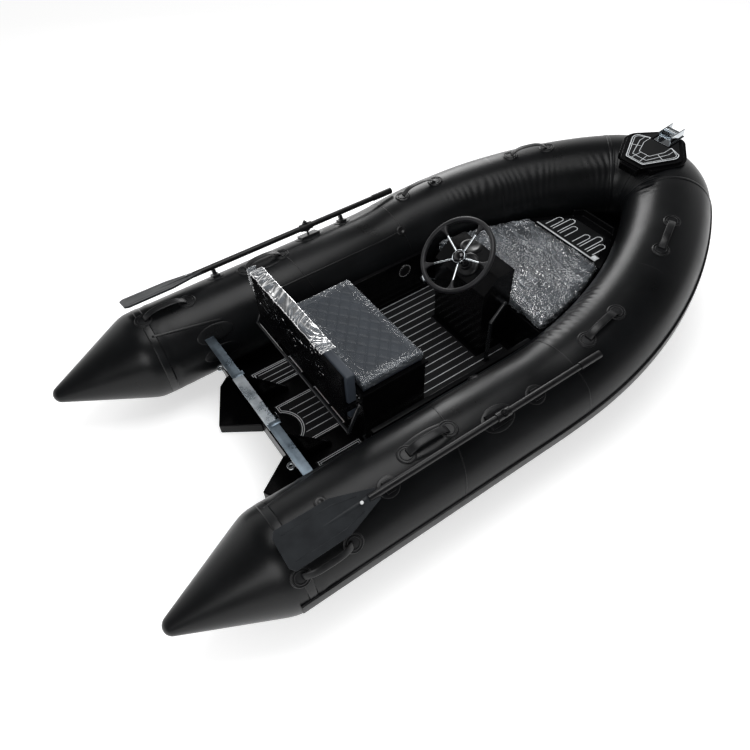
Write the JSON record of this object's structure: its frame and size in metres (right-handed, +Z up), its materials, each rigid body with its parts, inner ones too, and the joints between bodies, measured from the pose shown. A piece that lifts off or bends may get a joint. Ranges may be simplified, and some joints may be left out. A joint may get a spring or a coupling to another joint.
{
  "type": "inflatable rib boat",
  "caption": "Rigid-hulled inflatable tender with a helm console, folding backrest seat, bow locker, stowed oars and a raked transom for an outboard motor.",
  "frame": {"origin": "on the centreline at the waterline, level with the tips of the stern cones", "axes": "+X to the bow, +Y to port, +Z up"},
  "size_m": [3.6086, 1.8376, 0.9639],
  "materials": {
    "tube_fabric": "satin coated fabric",
    "moulded_rubber": "satin",
    "hull_laminate": "gel coat, gloss",
    "cap_metal": "brushed",
    "stainless": "polished",
    "deck_foam": "brushed foam",
    "seat_vinyl": "quilted vinyl",
    "wheel_foam": "satin",
    "helm_plastic": "satin",
    "rail_metal": "black, gloss",
    "oar_shaft": "satin black",
    "oar_blade": "satin",
    "clear_film": "crinkled protective film"
  },
  "bodies": {
    "boat": {"tube_port": "tube_fabric", "tube_starboard": "tube_fabric", "tube_bow_port": "tube_fabric", "tube_bow_starboard": "tube_fabric", "tube_stem": "tube_fabric", "tail_caps": "moulded_rubber", "rub_strake": "moulded_rubber", "hull": "hull_laminate", "stern_pods": "hull_laminate", "transom": "hull_laminate", "transom_cap": "cap_metal", "motor_pad": "cap_metal", "towing_eyes": "stainless", "transom_knees": "hull_laminate", "side_coamings": "hull_laminate", "floor_mat_aft": "deck_foam", "floor_mat_mid": "deck_foam", "seat_box": "hull_laminate", "console": "hull_laminate", "helm_unit": "helm_plastic", "grab_rail": "rail_metal", "bow_locker": "hull_laminate", "bow_step": "hull_laminate", "bow_step_mat": "deck_foam", "bow_plate": "hull_laminate", "bow_plate_mat": "deck_foam", "bow_roller": "stainless", "bow_eye": "stainless", "rowlocks": "helm_plastic", "oar_clips": "helm_plastic", "strap_handles": "moulded_rubber", "lifting_handles": "moulded_rubber"},
    "steering_wheel": {"wheel_rim": "wheel_foam", "wheel_spokes": "stainless", "wheel_cap": "helm_plastic"},
    "helm_seat_lid": {"seat_lid": "hull_laminate", "seat_cushion": "seat_vinyl", "backrest_frame": "rail_metal"},
    "backrest": {"backrest_board": "hull_laminate", "backrest_cushion": "seat_vinyl"},
    "bow_locker_lid": {"locker_lid": "hull_laminate", "front_cushion": "seat_vinyl"},
    "port_oar": {"oar_port": "oar_shaft", "blade_port": "oar_blade"},
    "starboard_oar": {"oar_starboard": "oar_shaft", "blade_starboard": "oar_blade"}
  },
  "joints": [
    {"name": "steering_turn", "type": "hinge", "parent": "boat", "child": "steering_wheel", "pos_m": [1.925, 0, 0.672], "axis": [-0.6157, 0, 0.788], "range_deg": [-540, 540]},
    {"name": "helm_seat_lid_open", "type": "hinge", "parent": "boat", "child": "helm_seat_lid", "pos_m": [1.499, 0, 0.4663], "axis": [0, 1, 0], "range_deg": [0, 80]},
    {"name": "backrest_fold", "type": "hinge", "parent": "helm_seat_lid", "child": "backrest", "pos_m": [1.064, 0, 0.5526], "axis": [0, -1, 0], "range_deg": [-85, 0]},
    {"name": "bow_locker_lid_open", "type": "hinge", "parent": "boat", "child": "bow_locker_lid", "pos_m": [2.7163, 0, 0.3886], "axis": [0, 1, 0], "range_deg": [0, 80]},
    {"name": "port_oar_swing", "type": "hinge", "parent": "boat", "child": "port_oar", "pos_m": [1.52463, 0.7947, 0.54762], "axis": [0, -0.4067, -0.9135], "range_deg": [0, 110]},
    {"name": "starboard_oar_swing", "type": "hinge", "parent": "boat", "child": "starboard_oar", "pos_m": [1.52463, -0.7947, 0.54762], "axis": [0, -0.4067, 0.9135], "range_deg": [0, 110]}
  ]
}
